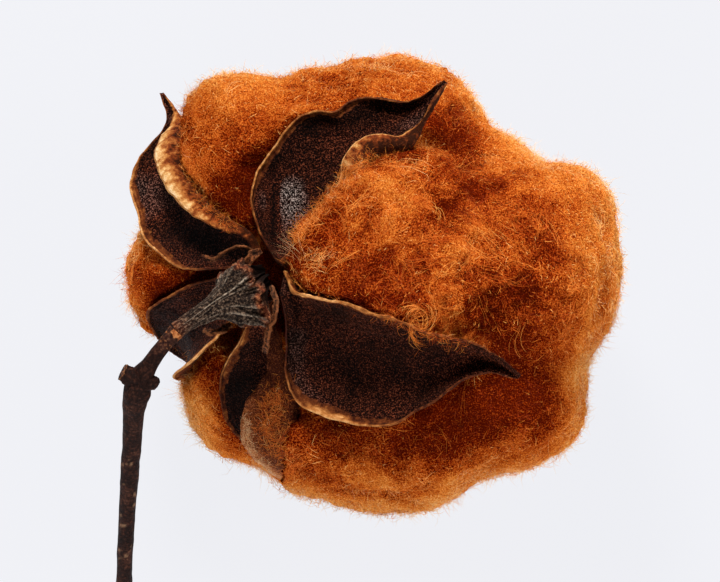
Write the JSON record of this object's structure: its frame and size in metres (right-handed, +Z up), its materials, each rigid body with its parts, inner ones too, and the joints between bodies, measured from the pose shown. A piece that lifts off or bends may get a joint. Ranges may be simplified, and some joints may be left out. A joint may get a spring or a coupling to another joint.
{
  "type": "cotton boll",
  "caption": "Open dried cotton boll lying on its lint, with woody bur valves, tufts of orange-brown lint, a ridged calyx and a short cut twig.",
  "frame": {"origin": "on the resting surface, under the middle of the object's box", "axes": "+Z up from the surface it lies on; +Y runs from the twig's cut end to the far side of the boll and is the longest extent; +X to the right, seen from above"},
  "size_m": [0.0752, 0.1, 0.06],
  "materials": {
    "bark": "rough dark brown bark with pale pores",
    "calyx": "matte grey, ribbed lengthwise",
    "bract": "dry, torn, reddish brown",
    "bur": "dark grainy outside, tan rim, pale mottled lining",
    "lint": "soft orange-brown fibre"
  },
  "bodies": {
    "root": {"stem": "bark", "calyx": "calyx", "bract_remnant_1": "bract", "bract_remnant_2": "bract", "bract_remnant_3": "bract", "bur_valve_1": "bur", "bur_valve_2": "bur", "bur_valve_3": "bur", "bur_valve_4": "bur", "bur_valve_5": "bur", "lint_lock_1": "lint", "lint_lock_2": "lint", "lint_lock_3": "lint", "lint_lock_4": "lint", "lint_lock_5": "lint"}
  },
  "joints": []
}
